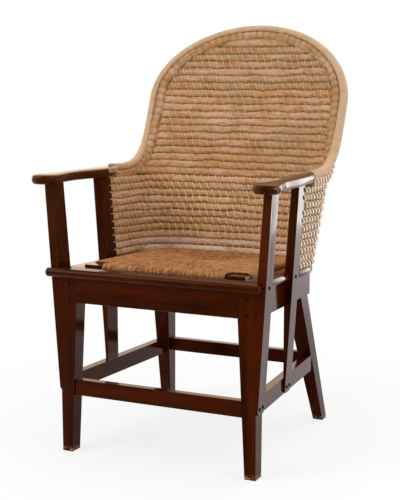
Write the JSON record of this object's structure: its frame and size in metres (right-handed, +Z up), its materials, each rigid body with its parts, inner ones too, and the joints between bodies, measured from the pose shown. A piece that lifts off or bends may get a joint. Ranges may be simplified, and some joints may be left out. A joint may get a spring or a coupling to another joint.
{
  "type": "straw-backed armchair",
  "caption": "Armchair with a joined dark wood frame, flat arms on slanting posts, a drop-in rush seat and a tall wrapped back of stitched straw courses in a bound rim.",
  "frame": {"origin": "centre of the bounding box on the floor, between the feet", "axes": "+Z up, the front faces -Y, +X to the right of someone looking at the front"},
  "size_m": [0.5954, 0.6345, 0.9866],
  "materials": {
    "frame_wood": "dark red-brown stain under a worn satin varnish",
    "seat_wood": "dark, plain",
    "straw": "bundled straw, dull sheen",
    "binding_twine": "twine wound closely over straw",
    "rush": "twisted rush cords",
    "screw_metal": "darkened"
  },
  "bodies": {
    "chair_frame": {"front_leg_left": "frame_wood", "front_leg_right": "frame_wood", "rear_leg_left": "frame_wood", "rear_leg_right": "frame_wood", "side_seat_rail_left": "frame_wood", "side_seat_rail_right": "frame_wood", "side_stretcher_left": "frame_wood", "side_stretcher_right": "frame_wood", "front_arm_post_left": "frame_wood", "front_arm_post_right": "frame_wood", "rear_arm_post_left": "frame_wood", "rear_arm_post_right": "frame_wood", "arm_left": "frame_wood", "arm_right": "frame_wood", "side_seat_cleat_left": "frame_wood", "side_seat_cleat_right": "frame_wood", "front_seat_rail": "frame_wood", "rear_seat_rail": "frame_wood", "front_stretcher": "frame_wood", "rear_stretcher": "frame_wood", "seat_board": "frame_wood", "front_nosing": "frame_wood", "front_seat_cleat": "frame_wood", "straw_course_01": "straw", "straw_course_02": "straw", "straw_course_03": "straw", "straw_course_04": "straw", "straw_course_05": "straw", "straw_course_06": "straw", "straw_course_07": "straw", "straw_course_08": "straw", "straw_course_09": "straw", "straw_course_10": "straw", "straw_course_11": "straw", "straw_course_12": "straw", "straw_course_13": "straw", "straw_course_14": "straw", "straw_course_15": "straw", "straw_course_16": "straw", "straw_course_17": "straw", "straw_course_18": "straw", "straw_course_19": "straw", "straw_course_20": "straw", "straw_course_21": "straw", "straw_course_22": "straw", "straw_course_23": "straw", "straw_course_24": "straw", "straw_course_25": "straw", "straw_course_26": "straw", "straw_course_27": "straw", "straw_course_28": "straw", "straw_course_29": "straw", "straw_course_30": "straw", "rim_coil": "straw", "bound_rim": "binding_twine", "rail_pegs": "frame_wood", "post_screws": "screw_metal"},
    "drop_in_seat": {"rush_seat": "rush", "seat_frame": "seat_wood"}
  },
  "joints": [
    {"name": "seat_lift", "type": "slide", "parent": "chair_frame", "child": "drop_in_seat", "axis": [0, 0.0349, 0.9994], "range_m": [0, 0.25]}
  ]
}
